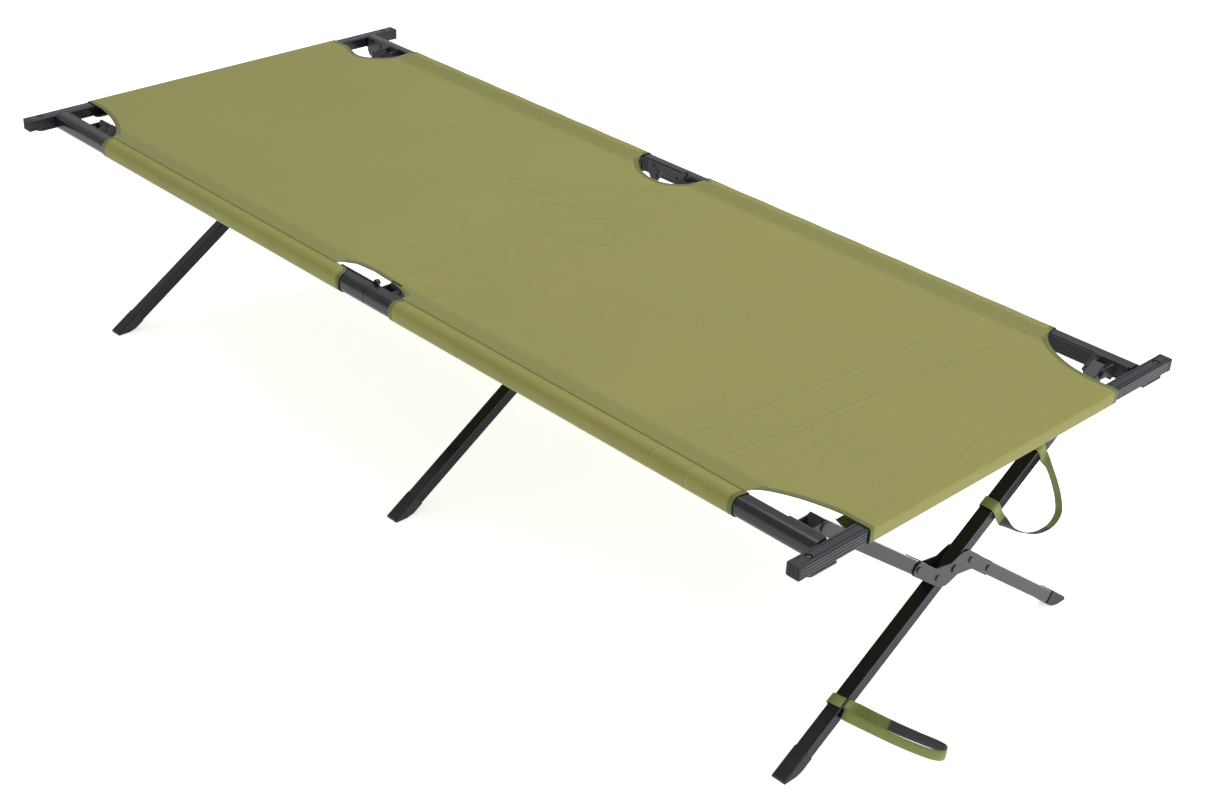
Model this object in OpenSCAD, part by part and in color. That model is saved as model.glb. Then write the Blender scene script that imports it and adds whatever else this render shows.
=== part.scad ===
// Folding camp cot: two jointed side rails, three crossed leg sets, two lift-off end bars, a fabric deck.
// +X runs along the bed, +Y across it, +Z is up. The floor is z = 0.

/* [Overall size] */
// Length over the outer faces of the two end bars
overall_length = 1900; // [1600:10:2300]
// Width over the outer faces of the two side rails
frame_width = 754; // [620:2:920]
// Height of the top of the end bars above the floor
bed_height = 433; // [360:1:520]

/* [Side rails] */
// Rail size across the bed
rail_width = 26; // [22:0.5:34]
// Rail size in height
rail_height = 31; // [27:0.5:38]
// Rail wall thickness
rail_wall = 2.2; // [1.6:0.1:3]
// Radius of the rounded outer side
rail_outer_radius = 12; // [8:0.5:13]
// Radius of the lower inner edge
rail_lower_radius = 6; // [3:0.5:8]
// Height of the rail top above the end bar top
rail_rise = 2; // [0:0.5:4]
// Number of lengthwise grooves on the inner face
rail_groove_count = 5; // [3:1:6]
// Groove width
rail_groove_width = 1.8; // [1:0.1:2.5]
// Groove depth
rail_groove_depth = 0.8; // [0.4:0.1:1.2]
// Distance between neighbouring grooves
rail_groove_pitch = 4.2; // [3:0.1:5]

/* [End bars] */
// Bar size along the bed
bar_width = 23; // [19:0.5:30]
// Bar height
bar_height = 21; // [18:0.5:26]
// Bar wall thickness
bar_wall = 2; // [1.5:0.1:3]
// Bar length beyond the rail's outer face
bar_overhang = 51; // [40:1:70]
// Distance from the rail's outer face to the locating pin
pin_outset = 23; // [18:0.5:30]
// Locating pin radius
pin_radius = 3.6; // [3:0.1:4.5]
// Hole radius in the top of the bar
bar_hole_radius = 5.5; // [4.5:0.1:6.5]
// Length of the plastic end plug
plug_length = 9; // [6:0.5:14]

/* [Legs] */
// Tube size along the bed
leg_width = 23; // [19:0.5:28]
// Tube size in the plane of the crossing
leg_depth = 21; // [18:0.5:24]
// Tube wall thickness
leg_wall = 1.8; // [1.4:0.1:2.5]
// Corner radius of the tube
leg_corner = 2; // [1:0.25:4]
// Offset of each half leg from the crossing pivot
half_leg_offset = 22.4; // [22.4:0.1:30]
// Gap between the end of each half leg and the straight leg
half_leg_gap = 0.6; // [0.4:0.1:6]
// Distance from the rail's inner face to the leg head pivot
head_inset = 28; // [26:0.5:36]
// Depth of the head pivot below the end bar top
head_drop = 10; // [8:0.5:16]
// Extra spread of the feet beyond the head pivots
foot_splay = 4.6; // [0:0.2:30]
// Tube length beyond the head pivot
head_end = 9; // [8:0.5:11]
// Distance of the right leg set from the right end bar's axis
right_set_inset = 52.5; // [45:0.5:140]
// Distance of the left leg set from the left end bar's axis
left_set_inset = 97.5; // [45:0.5:140]
// Position of the middle leg set from the rail joint
middle_set_shift = 20; // [18:0.5:40]
// Swing pivot of the middle set, measured from its legs
middle_swing_shift = 36; // [34:0.5:44]

/* [Plates and rivets] */
// Head plate thickness
plate_thickness = 2.4; // [1.6:0.1:3]
// Clevis thickness
clevis_thickness = 2; // [1.5:0.1:2.6]
// Crossing plate thickness
cross_plate_thickness = 2.2; // [1.6:0.1:3]
// Distance from the crossing pivot to the inner rivet, along the half leg
inner_rivet_at = 33; // [28:0.5:40]
// Distance from the crossing pivot to the outer rivet, along the half leg
outer_rivet_at = 96; // [70:0.5:120]
// Radius of the leg pivots
pivot_radius = 4; // [3:0.1:4.5]
// Radius of the swing pivots
swing_radius = 3.5; // [3:0.1:4.5]
// Radius of the plate rivets
rivet_radius = 2.5; // [2:0.1:3]
// Radius of the rivet heads
rivet_head_radius = 5; // [4:0.1:6]
// Thickness of the rivet heads
rivet_head = 1.6; // [1:0.1:2.4]
// Depth of the swing pivot below the end bar top
swing_drop = 20; // [18:0.5:22]
// Radius of the hinge lugs in the middle
lug_radius = 5; // [4.5:0.1:7]
// Radius of the hinge pin in the middle
hinge_pin_radius = 2.5; // [2:0.1:3]

/* [Feet] */
// Wall of the plastic foot cap
cap_wall = 1.2; // [1:0.1:2]
// Length of the cap's socket along the tube
cap_socket = 22; // [15:1:35]
// Distance of the tube end's centre above the floor
foot_lift = 12; // [11:0.5:16]
// Height of the upright face at the toe
toe_height = 5; // [3:0.5:8]

/* [Fabric] */
// Fabric thickness
fabric = 1.5; // [1:0.1:2.5]
// Length of bare rail at each corner
corner_bare = 142; // [120:1:180]
// Depth of the corner cut-outs from the rail
corner_depth = 63; // [60:1:90]
// Length of bare rail right of the rail joint
middle_bare_right = 75; // [72:1:95]
// Length of bare rail left of the rail joint
middle_bare_left = 97; // [94:1:120]
// Depth of the middle cut-outs from the rail
middle_depth = 45; // [42:1:60]

/* [Straps] */
// Strap width
strap_width = 25; // [20:1:40]
// Strap thickness
strap_thickness = 2; // [1.5:0.1:3]
// Length of the lower strap's loop
lower_loop = 145; // [100:1:150]
// Turn of the lower strap's loop towards the back
lower_loop_turn = 13; // [0:1:15]
// Reach of the upper strap's loop from the leg
upper_loop = 84; // [70:1:120]
// Distance between the upper strap's two ends, along the leg
upper_loop_span = 122; // [90:1:140]
// Height of the lower strap above the floor
lower_strap_height = 70; // [50:1:110]
// Distance of the upper strap's top end below the head pivot, along the leg
upper_strap_drop = 160; // [120:1:180]

/* [Clearances] */
// Gap between moving parts
gap = 0.3; // [0.3:0.05:0.5]
// Radial clearance of a pin in its bore
running = 0.05; // [0.02:0.01:0.1]
// Gap at the butt joint of the rail halves, each side
butt = 0.5; // [0.4:0.1:1]

/* [Hidden] */
$fn = 48;
big = 400;
over = 1;
bar_x = overall_length / 2 - bar_width / 2;
rail_end = bar_x - bar_width / 2 - gap;
inner_y = frame_width / 2 - rail_width;
bar_length = frame_width + 2 * bar_overhang;
pin_y = frame_width / 2 + pin_outset;
rail_top = bed_height + rail_rise;
rail_bottom = rail_top - rail_height;
bar_bottom = bed_height - bar_height;
swing_z = bed_height - swing_drop;
head_z = bed_height - head_drop;
head_y = inner_y - head_inset;
foot_y = head_y + foot_splay;
cross_z = head_z * foot_y / (head_y + foot_y);
leg_angle = atan((head_z - cross_z) / head_y);
head_reach = sqrt(head_y * head_y + pow(head_z - cross_z, 2));
half_angle = leg_angle + asin(half_leg_offset / head_reach);
half_reach = sqrt(head_reach * head_reach - half_leg_offset * half_leg_offset);
crossing_angle = leg_angle + half_angle;
half_leg_start = (leg_depth / 2 + half_leg_gap + (half_leg_offset + leg_depth / 2) * cos(crossing_angle))
    / sin(crossing_angle);
foot_end = (cross_z - foot_lift) / sin(leg_angle);
half_foot_end = (cross_z + half_leg_offset * cos(half_angle) - foot_lift) / sin(half_angle);
half_foot_y = half_leg_offset * sin(half_angle)
    + (cross_z + half_leg_offset * cos(half_angle)) * cos(half_angle) / sin(half_angle);
right_x = bar_x - right_set_inset;
left_x = -(bar_x - left_set_inset);
middle_x = middle_set_shift;
middle_swing_x = middle_x + middle_swing_shift;
straight_width = leg_width - 2 * gap;
plate_y = inner_y - plate_thickness;
web_y = plate_y - gap - plate_thickness;
ear_inner = leg_width / 2 + gap;
ear_outer = ear_inner + clevis_thickness;
ear_radius = 9;
pivot_head_radius = 6.5;
pivot_head = 1.8;
hinge_z = rail_top + fabric + 1;
sleeve_gap = gap;
deck_top = bed_height - 0.2;
deck_bottom = deck_top - fabric;
deck_y = inner_y - sleeve_gap - fabric - gap;
cross_half = leg_width / 2;
plate_end = outer_rivet_at + leg_depth / 2;
strap_inner_x = straight_width / 2 + 0.2;
strap_inner_y = leg_depth / 2 + 0.2;
lip = 1;
leg_groove_width = 1.4;
leg_groove_depth = 0.6;
leg_groove_pitch = 5;
loop_radius = strap_inner_y + strap_thickness;
loop_start = strap_inner_x + loop_radius * sin(lower_loop_turn) + 0.4;
strap_end = right_x + loop_start + lower_loop * cos(lower_loop_turn) + loop_radius;
origin_shift = -max(strap_end - overall_length / 2, 0) / 2;
colour_metal = [0.13, 0.14, 0.16];
colour_grey = [0.3, 0.31, 0.33];
colour_plate = [0.08, 0.08, 0.09];
colour_plastic = [0.05, 0.05, 0.05];
colour_fabric = [0.52, 0.52, 0.28];
colour_strap = [0.4, 0.43, 0.2];

// ---- shared outlines ----

module corner_cut(r) {
    difference() {
        translate([-over, -over]) square([r + over, r + over]);
        translate([r, r]) circle(r = r);
    }
}

module round_rect(w, h, r) {
    square([w - 2 * r, h], center = true);
    square([w, h - 2 * r], center = true);
    for (sx = [-1, 1])
        for (sy = [-1, 1])
            translate([sx * (w / 2 - r), sy * (h / 2 - r)]) circle(r = r);
}

// Rail outline grown by g: flat on the inner side (low x), round on the outer side.
module rail_outline(g) {
    w = rail_width + 2 * g;
    h = rail_height + 2 * g;
    ro = rail_outer_radius + g;
    rb = rail_lower_radius + g;
    translate([-g, -g]) difference() {
        square([w, h]);
        corner_cut(rb);
        translate([w, 0]) mirror([1, 0]) corner_cut(ro);
        translate([w, h]) rotate(180) corner_cut(ro);
        translate([0, h]) mirror([0, 1]) corner_cut(2.6 + g);
    }
}

module rail_section() {
    difference() {
        rail_outline(0);
        rail_outline(-rail_wall);
        for (i = [0 : rail_groove_count - 1])
            translate([-over, rail_height - 7 - i * rail_groove_pitch - rail_groove_width / 2])
                square([over + rail_groove_depth, rail_groove_width]);
    }
}

// Sweeps a rail outline (y across, z up) along +X from x0 to x1, on the back rail.
module along_rail(x0, x1) {
    translate([x0, inner_y, rail_bottom])
        rotate([90, 0, 90])
            linear_extrude(height = x1 - x0) children();
}

module y_cylinder(x, z, y0, y1, r) {
    translate([x, y0, z]) rotate([-90, 0, 0]) cylinder(r = r, h = y1 - y0);
}

module x_cylinder(x0, x1, y, z, r) {
    translate([x0, y, z]) rotate([0, 90, 0]) cylinder(r = r, h = x1 - x0);
}

// Extrudes an outline drawn in x and z from y0 to y1.
module y_plate(y0, y1) {
    translate([0, y1, 0]) rotate([90, 0, 0]) linear_extrude(height = y1 - y0) children();
}

module front() {
    mirror([0, 1, 0]) children();
}

module left() {
    mirror([1, 0, 0]) children();
}

// ---- side rails ----

module rail_half(swing_x_list) {
    difference() {
        along_rail(butt, rail_end) rail_section();
        for (x = swing_x_list)
            y_cylinder(x, swing_z, inner_y - over, inner_y + rail_wall + over, swing_radius + running);
    }
}

module rail_right() {
    rail_half([right_x, middle_swing_x]);
}

module rail_left() {
    left() rail_half([-left_x]);
}

module end_bracket() {
    tongue_top = bar_bottom - gap;
    tongue = 3.3;
    difference() {
        union() {
            along_rail(rail_end - 30, rail_end) rail_outline(-rail_wall - running);
            translate([rail_end, inner_y + rail_wall + 2, tongue_top - tongue])
                cube([bar_width + gap, frame_width / 2 - inner_y - rail_wall - 2 + pin_outset, tongue]);
            translate([bar_x, pin_y, tongue_top - tongue]) cylinder(r = bar_width / 2, h = tongue);
            translate([bar_x, pin_y, tongue_top - tongue])
                cylinder(r = pin_radius, h = bed_height - 0.7 - tongue_top + tongue);
        }
        along_rail(rail_end - 30 - over, rail_end - 6) translate([5, 5]) square([rail_width - 10, rail_height - 10]);
    }
}

// ---- end bars ----

module end_bar() {
    groove = 1.2;
    difference() {
        translate([bar_x, bar_length / 2 - plug_length, bar_bottom + bar_height / 2])
            rotate([90, 0, 0]) linear_extrude(height = bar_length - 2 * plug_length) difference() {
                round_rect(bar_width, bar_height, 2.5);
                translate([0, -bar_wall]) square([bar_width - 2 * bar_wall, bar_height], center = true);
                for (x = [-6, 6]) translate([x, bar_height / 2]) square([groove, groove], center = true);
                for (s = [-1, 1])
                    for (y = [-5, 0, 5])
                        translate([s * bar_width / 2, y]) square([groove, groove], center = true);
            }
        for (s = [-1, 1])
            translate([bar_x, s * pin_y, bar_bottom]) cylinder(r = bar_hole_radius, h = bar_height + over);
    }
}

module end_plugs() {
    for (s = [-1, 1])
        translate([bar_x, s * (bar_length / 2 - plug_length / 2), bar_bottom + bar_height / 2])
            rotate([90, 0, 0]) linear_extrude(height = plug_length, center = true)
                round_rect(bar_width + 0.4, bar_height + 0.4, 2.7);
    for (s = [-1, 1])
        for (x = [-6, 0, 6])
            translate([bar_x + x, s * bar_length / 2, bar_bottom + bar_height / 2])
                cube([1.6, 1.6, bar_height - 6], center = true);
}

// ---- rail plates and clevises, drawn on the back rail ----

module plate_rivet(x, z, y0) {
    y_cylinder(x, z, y0 - rivet_head, inner_y + rail_wall - 0.2, rivet_radius);
    y_cylinder(x, z, y0 - rivet_head, y0, rivet_head_radius - 1);
}

module swing_rivet(x) {
    head_y0 = web_y - gap - rivet_head;
    y_cylinder(x, swing_z, head_y0, inner_y + rail_wall + 1.5, swing_radius);
    y_cylinder(x, swing_z, head_y0, web_y - gap, swing_radius + 2.5);
}

module right_plate_outline() {
    translate([right_x, swing_z])
        polygon([[-24, 21], [-28, 12], [-35, -2], [-40, -13], [-36, -17], [-16, -17], [-8, -10],
            [12, -8], [22, 4], [34, 8], [36, 12], [36, 21]]);
}

module left_plate_outline() {
    translate([left_x, swing_z])
        polygon([[14, 21], [20, 10], [14, -8], [-12, -10], [-46, -8], [-52, -17], [-76, -17],
            [-82, -8], [-82, 21]]);
}

module middle_plate_outline() {
    polygon([[butt + 1, rail_top - 1], [butt + 1, swing_z + 6], [14, rail_bottom + 1],
        [middle_swing_x + 10, rail_bottom + 1], [middle_swing_x + 16, swing_z + 4],
        [middle_swing_x + 16, rail_top - 1]]);
}

module lug_outline(reach) {
    translate([0, hinge_z]) circle(r = lug_radius);
    polygon([[0, hinge_z + lug_radius], [0, hinge_z - 9], [reach, hinge_z - 9], [reach, rail_top - 1],
        [lug_radius * 0.8, hinge_z + 1]]);
}

module right_head_plate() {
    difference() {
        y_plate(plate_y, inner_y) right_plate_outline();
        y_cylinder(right_x, swing_z, plate_y - over, inner_y + over, swing_radius + running);
    }
    difference() {
        union() {
            plate_rivet(right_x - 28, swing_z - 8, plate_y);
            plate_rivet(right_x + 26, swing_z + 14, plate_y);
            y_cylinder(right_x + 26, swing_z + 14, plate_y - 0.8, plate_y, rivet_head_radius + 1.5);
            plate_rivet(right_x - ear_outer - rivet_head_radius - 0.2, swing_z + 15, plate_y);
        }
        y_plate(plate_y, inner_y) right_plate_outline();
        along_rail(butt, rail_end) rail_section();
    }
    swing_rivet(right_x);
}

module left_head_plate() {
    difference() {
        y_plate(plate_y, inner_y) left_plate_outline();
        y_cylinder(left_x, swing_z, plate_y - over, inner_y + over, swing_radius + running);
    }
    difference() {
        union() {
            plate_rivet(left_x - 66, swing_z - 8, plate_y);
            plate_rivet(left_x - 70, swing_z + 13, plate_y);
            y_cylinder(left_x - 70, swing_z + 13, plate_y - 0.8, plate_y, rivet_head_radius + 1.5);
            plate_rivet(left_x - 42, swing_z + 12, plate_y);
        }
        y_plate(plate_y, inner_y) left_plate_outline();
        left() along_rail(butt, rail_end) rail_section();
    }
    swing_rivet(left_x);
}

module middle_head_plate() {
    difference() {
        union() {
            y_plate(plate_y, inner_y) middle_plate_outline();
            y_plate(plate_y, inner_y - gap) lug_outline(12);
        }
        y_cylinder(middle_swing_x, swing_z, plate_y - over, inner_y + over, swing_radius + running);
        y_cylinder(0, hinge_z, plate_y - over, inner_y + over, hinge_pin_radius + running);
    }
    y_cylinder(0, hinge_z, web_y - gap - rivet_head, inner_y - gap, hinge_pin_radius);
    y_cylinder(0, hinge_z, web_y - gap - rivet_head, web_y - gap, hinge_pin_radius + 1.6);
    difference() {
        union() {
            plate_rivet(middle_swing_x + 8, swing_z + 15, plate_y);
            plate_rivet(middle_x + ear_outer + rivet_head_radius + 1.2, swing_z + 15, plate_y);
        }
        y_plate(plate_y, inner_y) middle_plate_outline();
        along_rail(butt, rail_end) rail_section();
    }
    swing_rivet(middle_swing_x);
}

module hinge_outline() {
    polygon([[-3, rail_top - 1], [-3, rail_bottom + 8], [-12, rail_bottom + 4], [-30, rail_bottom + 10],
        [-58, rail_bottom + 10], [-66, rail_bottom - 2], [-84, rail_bottom - 2], [-92, rail_bottom + 10],
        [-92, rail_top - 1]]);
    mirror([1, 0]) lug_outline(12);
}

module hinge_plate() {
    pads = [[-82, swing_z + 14], [-70, swing_z + 6], [-72, swing_z - 4], [-22, swing_z + 6]];
    difference() {
        y_plate(web_y, web_y + plate_thickness) hinge_outline();
        y_cylinder(0, hinge_z, web_y - over, inner_y, hinge_pin_radius + running);
    }
    difference() {
        for (p = pads) {
            y_cylinder(p[0], p[1], web_y + plate_thickness, inner_y, rivet_head_radius + 1);
            plate_rivet(p[0], p[1], web_y);
        }
        y_plate(web_y, web_y + plate_thickness) hinge_outline();
        left() along_rail(butt, rail_end) rail_section();
    }
    difference() {
        y_cylinder(pads[0][0], pads[0][1], web_y - 0.8, web_y, rivet_head_radius + 1.5);
        plate_rivet(pads[0][0], pads[0][1], web_y);
    }
}

// U-shaped clevis around a leg head. shift is the swing pivot's distance along +X from the legs.
module clevis(x, shift) {
    web_low = swing_z - 9;
    web_high = head_z + ear_radius - 1;
    difference() {
        union() {
            translate([x - ear_outer, web_y, web_low])
                cube([2 * ear_outer, plate_thickness, web_high - web_low]);
            if (shift > 0)
                translate([x, web_y, web_low]) cube([shift, plate_thickness, 2 * (swing_z - web_low)]);
            if (shift > 0)
                y_cylinder(x + shift, swing_z, web_y, web_y + plate_thickness, swing_z - web_low);
            for (s = [-1, 1])
                translate([x + (s > 0 ? ear_inner : -ear_outer), head_y, head_z - ear_radius])
                    cube([clevis_thickness, web_y + plate_thickness - head_y, 2 * ear_radius - 1]);
            for (s = [-1, 1])
                x_cylinder(x + (s > 0 ? ear_inner : -ear_outer), x + (s > 0 ? ear_outer : -ear_inner),
                    head_y, head_z, ear_radius);
        }
        y_cylinder(x + shift, swing_z, web_y - over, web_y + plate_thickness + over, swing_radius + running);
        x_cylinder(x - ear_outer - over, x + ear_outer + over, head_y, head_z, pivot_radius + running);
    }
    x_cylinder(x - ear_outer - pivot_head, x + ear_outer + pivot_head, head_y, head_z, pivot_radius);
    for (s = [-1, 1])
        x_cylinder(x + (s > 0 ? ear_outer : -ear_outer - pivot_head),
            x + (s > 0 ? ear_outer + pivot_head : -ear_outer), head_y, head_z, pivot_head_radius);
}

// ---- legs ----

// Leg frames start at the crossing pivot. Local z runs up the leg, local x is world X.
module on_straight(x) {
    translate([x, 0, cross_z]) rotate([-(90 - leg_angle), 0, 0]) children();
}

module on_half(x) {
    translate([x, 0, cross_z]) rotate([90 - half_angle, 0, 0]) children();
}

module tube_section(w) {
    difference() {
        round_rect(w, leg_depth, leg_corner);
        round_rect(w - 2 * leg_wall, leg_depth - 2 * leg_wall, leg_corner / 2);
        for (s = [-1, 1])
            for (i = [-1, 0, 1])
                translate([s * w / 2, i * leg_groove_pitch])
                    square([2 * leg_groove_depth, leg_groove_width], center = true);
    }
}

module tube(w, z0, z1) {
    translate([0, 0, z0]) linear_extrude(height = z1 - z0) tube_section(w);
}

module end_wall(w, z0) {
    translate([0, 0, z0]) linear_extrude(height = leg_wall)
        round_rect(w - 2 * leg_wall + 0.2, leg_depth - 2 * leg_wall + 0.2, leg_corner / 2);
}

module cross_bore(z, r) {
    translate([-big / 2, 0, z]) rotate([0, 90, 0]) cylinder(r = r, h = big);
}

module straight_leg(x) {
    on_straight(x) difference() {
        union() {
            tube(straight_width, -foot_end, head_reach + head_end);
            end_wall(straight_width, head_reach + head_end - leg_wall);
        }
        cross_bore(0, pivot_radius + running);
        cross_bore(head_reach, pivot_radius + running);
    }
}

module upper_half_leg(x) {
    on_half(x) translate([0, -half_leg_offset, 0]) difference() {
        union() {
            tube(leg_width, half_leg_start, half_reach + head_end);
            end_wall(leg_width, half_reach + head_end - leg_wall);
            end_wall(leg_width, half_leg_start);
        }
        cross_bore(inner_rivet_at, rivet_radius + running);
        cross_bore(outer_rivet_at, rivet_radius + running);
        cross_bore(half_reach, pivot_radius + running);
    }
}

module lower_half_leg(x) {
    on_half(x) translate([0, half_leg_offset, 0]) difference() {
        union() {
            tube(leg_width, -half_foot_end, -half_leg_start);
            end_wall(leg_width, -half_leg_start - leg_wall);
        }
        cross_bore(-inner_rivet_at, rivet_radius + running);
        cross_bore(-outer_rivet_at, rivet_radius + running);
    }
}

// Cap around a tube end, cut flat by the floor, with an upright toe and a bevelled heel.
module foot_cap(x, w, slope, end, toe_y, side) {
    outer_w = w + 2 * cap_wall;
    outer_d = leg_depth + 2 * cap_wall;
    toe_cut = toe_y + (outer_d / 2) / sin(slope) - toe_height / tan(slope);
    heel_cut = toe_y - (outer_d / 2) / sin(slope) + 12;
    difference() {
        children();
        translate([x - big / 2, -big * 2, -big]) cube([big, big * 4, big]);
        translate([x - big / 2, side > 0 ? toe_cut : -toe_cut - big, -over]) cube([big, big, big]);
        translate([x - big / 2, side * heel_cut, 0]) rotate([side > 0 ? -15 : 15, 0, 0])
            translate([0, side > 0 ? -60 : 0, -60]) cube([big, 60, 60]);
    }
}

module straight_foot(x) {
    foot_cap(x, straight_width, leg_angle, foot_end, foot_y, -1)
        on_straight(x) difference() {
            translate([0, 0, -foot_end - 60]) linear_extrude(height = 60 + cap_socket)
                round_rect(straight_width + 2 * cap_wall, leg_depth + 2 * cap_wall, leg_corner + cap_wall);
            translate([0, 0, -foot_end]) linear_extrude(height = big)
                round_rect(straight_width + 2 * running, leg_depth + 2 * running, leg_corner + running);
        }
}

module half_leg_foot(x) {
    foot_cap(x, leg_width, half_angle, half_foot_end, half_foot_y, 1)
        on_half(x) translate([0, half_leg_offset, 0]) difference() {
            translate([0, 0, -half_foot_end - 60]) linear_extrude(height = 60 + cap_socket)
                round_rect(leg_width + 2 * cap_wall, leg_depth + 2 * cap_wall, leg_corner + cap_wall);
            translate([0, 0, -half_foot_end]) linear_extrude(height = big)
                round_rect(leg_width + 2 * running, leg_depth + 2 * running, leg_corner + running);
        }
}

// Z-shaped plate outline: x is the distance along the half leg, y the distance across it.
module cross_outline() {
    edge = half_leg_offset + leg_depth / 2 + running + lip;
    near = half_leg_offset - leg_depth / 2 - running - lip;
    difference() {
        polygon([[plate_end - 6, -edge], [plate_end, -edge + 7], [plate_end, -near - 7], [plate_end - 6, -near],
            [49, -near], [17, 5], [6, 20], [0, 27], [-9, 31.5], [-14, edge], [-plate_end + 6, edge],
            [-plate_end, edge - 7], [-plate_end, near + 7], [-plate_end + 6, near],
            [-49, near], [-17, -5], [-6, -20], [0, -27], [9, -31.5], [14, -edge]]);
        circle(r = pivot_radius + running);
        for (s = [-1, 1])
            for (t = [inner_rivet_at, outer_rivet_at])
                translate([s * t, -s * half_leg_offset]) circle(r = rivet_radius + running);
    }
}

module cross_plates(x) {
    on_half(x)
        for (s = [0, 1]) mirror([s, 0, 0])
            translate([cross_half, 0, 0]) {
                rotate([90, 0, 90]) linear_extrude(height = cross_plate_thickness)
                    rotate(90) mirror([0, 1]) cross_outline();
                for (k = [-1, 1])
                    for (e = [-1, 1])
                        translate([-3.5, -k * half_leg_offset + (e > 0 ? leg_depth / 2 + running
                            : -leg_depth / 2 - running - lip), k > 0 ? 54 : -plate_end + 8])
                            cube([3.5 + cross_plate_thickness, lip, plate_end - 62]);
            }
}

module cross_rivets(x) {
    face = cross_half + cross_plate_thickness;
    on_half(x) {
        for (s = [-1, 1])
            for (t = [inner_rivet_at, outer_rivet_at])
                translate([0, -s * half_leg_offset, s * t]) {
                    translate([-face, 0, 0]) rotate([0, 90, 0]) cylinder(r = rivet_radius, h = 2 * face);
                    for (k = [-1, 1])
                        translate([k > 0 ? face : -face - rivet_head, 0, 0])
                            rotate([0, 90, 0]) cylinder(r = rivet_head_radius, h = rivet_head);
                }
        translate([-face, 0, 0]) rotate([0, 90, 0]) cylinder(r = pivot_radius, h = 2 * face);
        for (k = [-1, 1])
            translate([k > 0 ? face : -face - pivot_head, 0, 0])
                rotate([0, 90, 0]) cylinder(r = pivot_head_radius, h = pivot_head);
    }
}

// ---- fabric ----

module corner_hole() {
    hole_r = corner_depth;
    x0 = rail_end - corner_bare + hole_r;
    for (s = [-1, 1]) {
        translate([x0, s * inner_y]) circle(r = hole_r);
        translate([x0, s > 0 ? inner_y - hole_r : -inner_y - over]) square([big, hole_r + over]);
    }
}

// toward is 1 on the right half and -1 on the left half, which is drawn mirrored.
module middle_hole(toward) {
    half = (middle_bare_right + middle_bare_left) / 2;
    hole_r = (half * half + middle_depth * middle_depth) / (2 * middle_depth);
    for (s = [-1, 1])
        translate([toward * (middle_bare_right - middle_bare_left) / 2, s * (inner_y - middle_depth + hole_r)])
            circle(r = hole_r);
}

module deck(toward) {
    pocket_y = inner_y - corner_depth;
    difference() {
        translate([0, 0, deck_bottom]) linear_extrude(height = fabric) difference() {
            translate([butt, -deck_y]) square([bar_x - bar_width / 2 - gap - butt, 2 * deck_y]);
            corner_hole();
            middle_hole(toward);
        }
    }
    difference() {
        translate([bar_x, pocket_y, bed_height - bar_height / 2])
            rotate([90, 0, 0]) linear_extrude(height = 2 * pocket_y) difference() {
                square([bar_width + 2 * gap + 2 * fabric, bar_height + 2 * gap + 2 * fabric], center = true);
                square([bar_width + 2 * gap, bar_height + 2 * gap], center = true);
            }
    }
}

module sleeve(start) {
    along_rail(start, rail_end - corner_bare) difference() {
        rail_outline(sleeve_gap + fabric);
        rail_outline(sleeve_gap);
    }
}

// ---- straps on the right straight leg ----

module stadium(x1, r) {
    translate([0, -r]) square([x1, 2 * r]);
    translate([x1, 0]) circle(r = r);
}

module strap_ring(at) {
    on_straight(right_x) translate([0, 0, at - strap_width / 2]) linear_extrude(height = strap_width)
        difference() {
            square([2 * (strap_inner_x + strap_thickness), 2 * loop_radius], center = true);
            square([2 * strap_inner_x, 2 * strap_inner_y], center = true);
        }
}

module lower_strap() {
    below = cross_z - lower_strap_height;
    strap_ring(-below / sin(leg_angle));
    translate([right_x + loop_start, -below / tan(leg_angle), lower_strap_height - strap_width / 2])
        rotate([0, 0, lower_loop_turn]) linear_extrude(height = strap_width)
            difference() {
                stadium(lower_loop, loop_radius);
                translate([strap_thickness, 0]) stadium(lower_loop - strap_thickness, strap_inner_y);
            }
}

// A loop that hangs from the leg's lower corner, between two places on it.
module upper_strap() {
    middle = head_reach - upper_strap_drop - upper_loop_span / 2;
    r = upper_loop_span / 2;
    strap_ring(middle - r + strap_width / 2);
    on_straight(right_x) translate([strap_inner_x, -strap_inner_y, middle])
        rotate([0, 0, -58]) rotate([90, 0, 0]) linear_extrude(height = strap_width, center = true)
            intersection() {
                translate([0.6, -r]) square([upper_loop, 2 * r]);
                difference() {
                    stadium(upper_loop - r, r);
                    stadium(upper_loop - r, r - strap_thickness);
                }
            }
}

// ---- nodes ----

// The origin is under the middle of the whole model, with the strap's loop counted in.
module at_origin() {
    translate([origin_shift, 0, 0]) children();
}

module rail_back_right() { at_origin() color(colour_metal) rail_right(); }
module rail_back_left() { at_origin() color(colour_metal) rail_left(); }
module rail_front_right() { at_origin() color(colour_metal) front() rail_right(); }
module rail_front_left() { at_origin() color(colour_metal) front() rail_left(); }
module end_bracket_back_right() { at_origin() color(colour_plate) end_bracket(); }
module end_bracket_back_left() { at_origin() color(colour_plate) left() end_bracket(); }
module end_bracket_front_right() { at_origin() color(colour_plate) front() end_bracket(); }
module end_bracket_front_left() { at_origin() color(colour_plate) left() front() end_bracket(); }
module end_bar_right() { at_origin() color(colour_grey) end_bar(); }
module end_bar_left() { at_origin() color(colour_grey) left() end_bar(); }
module end_plugs_right() { at_origin() color(colour_plastic) end_plugs(); }
module end_plugs_left() { at_origin() color(colour_plastic) left() end_plugs(); }
module hinge_plate_back_left() { at_origin() color(colour_plate) hinge_plate(); }
module hinge_plate_front_left() { at_origin() color(colour_plate) front() hinge_plate(); }
module right_head_plate_back() { at_origin() color(colour_plate) right_head_plate(); }
module right_head_plate_front() { at_origin() color(colour_plate) front() right_head_plate(); }
module left_head_plate_back() { at_origin() color(colour_plate) left_head_plate(); }
module left_head_plate_front() { at_origin() color(colour_plate) front() left_head_plate(); }
module middle_head_plate_back() { at_origin() color(colour_plate) middle_head_plate(); }
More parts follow.
